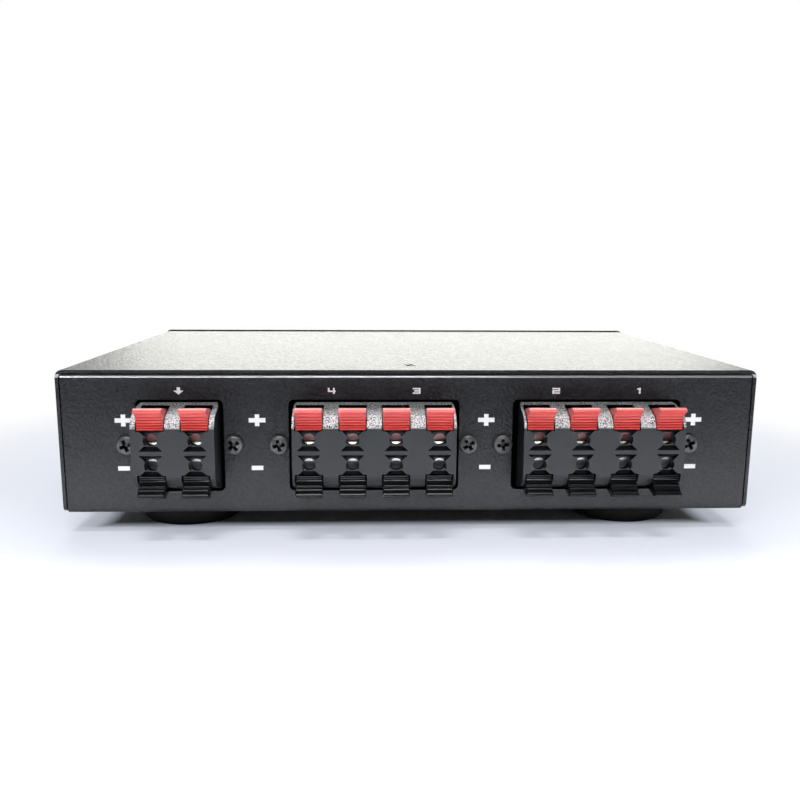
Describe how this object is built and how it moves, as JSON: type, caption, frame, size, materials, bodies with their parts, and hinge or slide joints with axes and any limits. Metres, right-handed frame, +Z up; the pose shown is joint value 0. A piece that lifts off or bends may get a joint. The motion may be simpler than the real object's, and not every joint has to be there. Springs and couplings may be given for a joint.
{
  "type": "speaker selector switch",
  "caption": "Speaker selector switch: a folded steel case with blocks of sprung push terminals on its back and latching push buttons on its front.",
  "frame": {"origin": "under the middle of the whole object, on the plane its feet stand on", "axes": "+X along the terminal side, to the right of someone who faces it, +Y from the terminals to the buttons, +Z up"},
  "size_m": [0.21, 0.1574, 0.0513],
  "materials": {
    "case_steel": "satin",
    "fascia_metal": "satin",
    "block_plastic": "satin",
    "lever_red": "satin",
    "lever_black": "satin",
    "contact_metal": "polished",
    "spring_steel": "satin",
    "black_screw": "satin",
    "plain_screw": "satin",
    "rubber": "matte",
    "board_laminate": "satin",
    "spacer_brass": "satin",
    "switch_plastic": "matte",
    "stem_plastic": "matte",
    "cap_plastic": "satin",
    "resistor_ceramic": "matte"
  },
  "bodies": {
    "case": {"base_chassis": "case_steel", "top_cover": "case_steel", "cover_screws": "black_screw", "front_fascia": "fascia_metal", "fascia_screws": "plain_screw", "foot_terminal_side_left": "rubber", "foot_terminal_side_right": "rubber", "foot_button_side_left": "rubber", "foot_button_side_right": "rubber", "foot_screws": "plain_screw", "circuit_board": "board_laminate", "board_spacers": "spacer_brass", "board_screws": "plain_screw", "protection_resistors": "resistor_ceramic", "block_screws": "black_screw", "terminal_housing_input": "block_plastic", "contacts_input": "contact_metal", "lever_springs_input": "spring_steel", "terminal_housing_4_3": "block_plastic", "contacts_4_3": "contact_metal", "lever_springs_4_3": "spring_steel", "terminal_housing_2_1": "block_plastic", "contacts_2_1": "contact_metal", "lever_springs_2_1": "spring_steel", "switch_body_speaker_1": "switch_plastic", "switch_body_speaker_2": "switch_plastic", "switch_body_speaker_3": "switch_plastic", "switch_body_speaker_4": "switch_plastic", "switch_body_protection": "switch_plastic"},
    "lever_plus_input_left": {"lever_plus_input_left": "lever_red"},
    "lever_minus_input_left": {"lever_minus_input_left": "lever_black"},
    "lever_plus_input_right": {"lever_plus_input_right": "lever_red"},
    "lever_minus_input_right": {"lever_minus_input_right": "lever_black"},
    "lever_plus_4_left": {"lever_plus_4_left": "lever_red"},
    "lever_minus_4_left": {"lever_minus_4_left": "lever_black"},
    "lever_plus_4_right": {"lever_plus_4_right": "lever_red"},
    "lever_minus_4_right": {"lever_minus_4_right": "lever_black"},
    "lever_plus_3_left": {"lever_plus_3_left": "lever_red"},
    "lever_minus_3_left": {"lever_minus_3_left": "lever_black"},
    "lever_plus_3_right": {"lever_plus_3_right": "lever_red"},
    "lever_minus_3_right": {"lever_minus_3_right": "lever_black"},
    "lever_plus_2_left": {"lever_plus_2_left": "lever_red"},
    "lever_minus_2_left": {"lever_minus_2_left": "lever_black"},
    "lever_plus_2_right": {"lever_plus_2_right": "lever_red"},
    "lever_minus_2_right": {"lever_minus_2_right": "lever_black"},
    "lever_plus_1_left": {"lever_plus_1_left": "lever_red"},
    "lever_minus_1_left": {"lever_minus_1_left": "lever_black"},
    "lever_plus_1_right": {"lever_plus_1_right": "lever_red"},
    "lever_minus_1_right": {"lever_minus_1_right": "lever_black"},
    "button_speaker_1": {"button_speaker_1": "cap_plastic", "switch_stem_speaker_1": "stem_plastic"},
    "button_speaker_2": {"button_speaker_2": "cap_plastic", "switch_stem_speaker_2": "stem_plastic"},
    "button_speaker_3": {"button_speaker_3": "cap_plastic", "switch_stem_speaker_3": "stem_plastic"},
    "button_speaker_4": {"button_speaker_4": "cap_plastic", "switch_stem_speaker_4": "stem_plastic"},
    "button_protection": {"button_protection": "cap_plastic", "switch_stem_protection": "stem_plastic"}
  },
  "joints": [
    {"name": "lever_plus_input_left_pivot", "type": "hinge", "parent": "case", "child": "lever_plus_input_left", "pos_m": [-0.0755, -0.0623, 0.0346], "axis": [-1, 0, 0], "range_deg": [0, 14], "stiffness_Nm_per_rad": 0.02, "springref_deg": -34.38, "deforming": ["lever_springs_input"]},
    {"name": "lever_minus_input_left_pivot", "type": "hinge", "parent": "case", "child": "lever_minus_input_left", "pos_m": [-0.0755, -0.0623, 0.021], "axis": [1, 0, 0], "range_deg": [0, 14], "stiffness_Nm_per_rad": 0.02, "springref_deg": -34.38, "deforming": ["lever_springs_input"]},
    {"name": "lever_plus_input_right_pivot", "type": "hinge", "parent": "case", "child": "lever_plus_input_right", "pos_m": [-0.0628, -0.0623, 0.0346], "axis": [-1, 0, 0], "range_deg": [0, 14], "stiffness_Nm_per_rad": 0.02, "springref_deg": -34.38, "deforming": ["lever_springs_input"]},
    {"name": "lever_minus_input_right_pivot", "type": "hinge", "parent": "case", "child": "lever_minus_input_right", "pos_m": [-0.0628, -0.0623, 0.021], "axis": [1, 0, 0], "range_deg": [0, 14], "stiffness_Nm_per_rad": 0.02, "springref_deg": -34.38, "deforming": ["lever_springs_input"]},
    {"name": "lever_plus_4_left_pivot", "type": "hinge", "parent": "case", "child": "lever_plus_4_left", "pos_m": [-0.03015, -0.0623, 0.0346], "axis": [-1, 0, 0], "range_deg": [0, 14], "stiffness_Nm_per_rad": 0.02, "springref_deg": -34.38, "deforming": ["lever_springs_4_3"]},
    {"name": "lever_minus_4_left_pivot", "type": "hinge", "parent": "case", "child": "lever_minus_4_left", "pos_m": [-0.03015, -0.0623, 0.021], "axis": [1, 0, 0], "range_deg": [0, 14], "stiffness_Nm_per_rad": 0.02, "springref_deg": -34.38, "deforming": ["lever_springs_4_3"]},
    {"name": "lever_plus_4_right_pivot", "type": "hinge", "parent": "case", "child": "lever_plus_4_right", "pos_m": [-0.01745, -0.0623, 0.0346], "axis": [-1, 0, 0], "range_deg": [0, 14], "stiffness_Nm_per_rad": 0.02, "springref_deg": -34.38, "deforming": ["lever_springs_4_3"]},
    {"name": "lever_minus_4_right_pivot", "type": "hinge", "parent": "case", "child": "lever_minus_4_right", "pos_m": [-0.01745, -0.0623, 0.021], "axis": [1, 0, 0], "range_deg": [0, 14], "stiffness_Nm_per_rad": 0.02, "springref_deg": -34.38, "deforming": ["lever_springs_4_3"]},
    {"name": "lever_plus_3_left_pivot", "type": "hinge", "parent": "case", "child": "lever_plus_3_left", "pos_m": [-0.00475, -0.0623, 0.0346], "axis": [-1, 0, 0], "range_deg": [0, 14], "stiffness_Nm_per_rad": 0.02, "springref_deg": -34.38, "deforming": ["lever_springs_4_3"]},
    {"name": "lever_minus_3_left_pivot", "type": "hinge", "parent": "case", "child": "lever_minus_3_left", "pos_m": [-0.00475, -0.0623, 0.021], "axis": [1, 0, 0], "range_deg": [0, 14], "stiffness_Nm_per_rad": 0.02, "springref_deg": -34.38, "deforming": ["lever_springs_4_3"]},
    {"name": "lever_plus_3_right_pivot", "type": "hinge", "parent": "case", "child": "lever_plus_3_right", "pos_m": [0.00795, -0.0623, 0.0346], "axis": [-1, 0, 0], "range_deg": [0, 14], "stiffness_Nm_per_rad": 0.02, "springref_deg": -34.38, "deforming": ["lever_springs_4_3"]},
    {"name": "lever_minus_3_right_pivot", "type": "hinge", "parent": "case", "child": "lever_minus_3_right", "pos_m": [0.00795, -0.0623, 0.021], "axis": [1, 0, 0], "range_deg": [0, 14], "stiffness_Nm_per_rad": 0.02, "springref_deg": -34.38, "deforming": ["lever_springs_4_3"]},
    {"name": "lever_plus_2_left_pivot", "type": "hinge", "parent": "case", "child": "lever_plus_2_left", "pos_m": [0.03745, -0.0623, 0.0346], "axis": [-1, 0, 0], "range_deg": [0, 14], "stiffness_Nm_per_rad": 0.02, "springref_deg": -34.38, "deforming": ["lever_springs_2_1"]},
    {"name": "lever_minus_2_left_pivot", "type": "hinge", "parent": "case", "child": "lever_minus_2_left", "pos_m": [0.03745, -0.0623, 0.021], "axis": [1, 0, 0], "range_deg": [0, 14], "stiffness_Nm_per_rad": 0.02, "springref_deg": -34.38, "deforming": ["lever_springs_2_1"]},
    {"name": "lever_plus_2_right_pivot", "type": "hinge", "parent": "case", "child": "lever_plus_2_right", "pos_m": [0.05015, -0.0623, 0.0346], "axis": [-1, 0, 0], "range_deg": [0, 14], "stiffness_Nm_per_rad": 0.02, "springref_deg": -34.38, "deforming": ["lever_springs_2_1"]},
    {"name": "lever_minus_2_right_pivot", "type": "hinge", "parent": "case", "child": "lever_minus_2_right", "pos_m": [0.05015, -0.0623, 0.021], "axis": [1, 0, 0], "range_deg": [0, 14], "stiffness_Nm_per_rad": 0.02, "springref_deg": -34.38, "deforming": ["lever_springs_2_1"]},
    {"name": "lever_plus_1_left_pivot", "type": "hinge", "parent": "case", "child": "lever_plus_1_left", "pos_m": [0.06285, -0.0623, 0.0346], "axis": [-1, 0, 0], "range_deg": [0, 14], "stiffness_Nm_per_rad": 0.02, "springref_deg": -34.38, "deforming": ["lever_springs_2_1"]},
    {"name": "lever_minus_1_left_pivot", "type": "hinge", "parent": "case", "child": "lever_minus_1_left", "pos_m": [0.06285, -0.0623, 0.021], "axis": [1, 0, 0], "range_deg": [0, 14], "stiffness_Nm_per_rad": 0.02, "springref_deg": -34.38, "deforming": ["lever_springs_2_1"]},
    {"name": "lever_plus_1_right_pivot", "type": "hinge", "parent": "case", "child": "lever_plus_1_right", "pos_m": [0.07555, -0.0623, 0.0346], "axis": [-1, 0, 0], "range_deg": [0, 14], "stiffness_Nm_per_rad": 0.02, "springref_deg": -34.38, "deforming": ["lever_springs_2_1"]},
    {"name": "lever_minus_1_right_pivot", "type": "hinge", "parent": "case", "child": "lever_minus_1_right", "pos_m": [0.07555, -0.0623, 0.021], "axis": [1, 0, 0], "range_deg": [0, 14], "stiffness_Nm_per_rad": 0.02, "springref_deg": -34.38, "deforming": ["lever_springs_2_1"]},
    {"name": "button_speaker_1_press", "type": "slide", "parent": "case", "child": "button_speaker_1", "axis": [0, -1, 0], "range_m": [0, 0.0035]},
    {"name": "button_speaker_2_press", "type": "slide", "parent": "case", "child": "button_speaker_2", "axis": [0, -1, 0], "range_m": [0, 0.0035]},
    {"name": "button_speaker_3_press", "type": "slide", "parent": "case", "child": "button_speaker_3", "axis": [0, -1, 0], "range_m": [0, 0.0035]},
    {"name": "button_speaker_4_press", "type": "slide", "parent": "case", "child": "button_speaker_4", "axis": [0, -1, 0], "range_m": [0, 0.0035]},
    {"name": "button_protection_press", "type": "slide", "parent": "case", "child": "button_protection", "axis": [0, -1, 0], "range_m": [0, 0.0035]}
  ]
}
